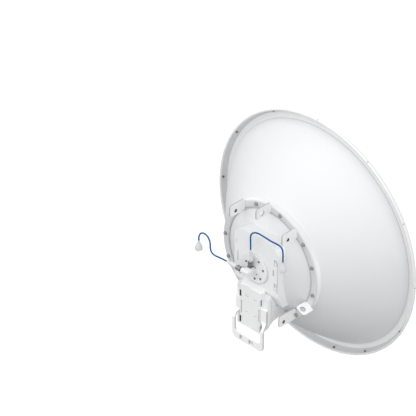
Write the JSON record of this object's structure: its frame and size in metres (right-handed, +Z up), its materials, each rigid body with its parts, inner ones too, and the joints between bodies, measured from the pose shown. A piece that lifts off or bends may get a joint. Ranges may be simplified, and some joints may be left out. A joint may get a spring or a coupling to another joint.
{
  "type": "parabolic dish antenna",
  "caption": "Deep parabolic dish antenna with a backing ring and bolting tabs, a rear cover with feed flange and coaxial jumpers, and a radio mount below.",
  "frame": {"origin": "on the outer bolting face of the upper right mast tab, beside its bolt hole", "axes": "+Y out of the dish's mouth along its axis, +X to the right seen from behind, +Z up"},
  "size_m": [1.064, 0.4231, 1.064],
  "materials": {
    "white_paint": "satin white powder coat",
    "ring_paint": "satin light grey powder coat",
    "white_plastic": "fine matt moulding",
    "bright_metal": "nickel plated",
    "milky_sleeve": "milky translucent moulding",
    "blue_cable": "smooth blue jacket"
  },
  "bodies": {
    "root": {"reflector": "white_paint", "rim": "white_paint", "feed_collar": "white_paint", "backing_ring": "ring_paint", "mast_tab_upper_left": "ring_paint", "mast_tab_upper_right": "ring_paint", "mast_tab_lower_right": "ring_paint", "lifting_tab_top": "ring_paint", "lifting_tab_lower_right": "ring_paint", "back_cover": "white_plastic", "feed_flange": "white_plastic", "feed_hub": "white_plastic", "transducer_block": "white_plastic", "mount_arm": "white_plastic", "mount_plate": "white_plastic", "arm_brace_left": "white_plastic", "arm_brace_right": "white_plastic", "pivot_lug_left": "white_plastic", "pivot_lug_right": "white_plastic", "hoop_guard": "white_plastic", "feed_tube": "white_plastic", "feed_cone": "white_plastic", "splash_plate": "white_plastic", "port_vertical": "bright_metal", "port_horizontal": "bright_metal", "plug_1_nut": "bright_metal", "plug_2_nut": "bright_metal", "jumper_1_end_plug": "bright_metal", "jumper_2_end_plug": "bright_metal", "plug_1_sleeve": "milky_sleeve", "plug_1_relief": "milky_sleeve", "plug_2_sleeve": "milky_sleeve", "plug_2_relief": "milky_sleeve", "jumper_1_boot": "milky_sleeve", "jumper_2_boot": "milky_sleeve", "jumper_1_cable": "blue_cable", "jumper_2_cable": "blue_cable"}
  },
  "joints": []
}
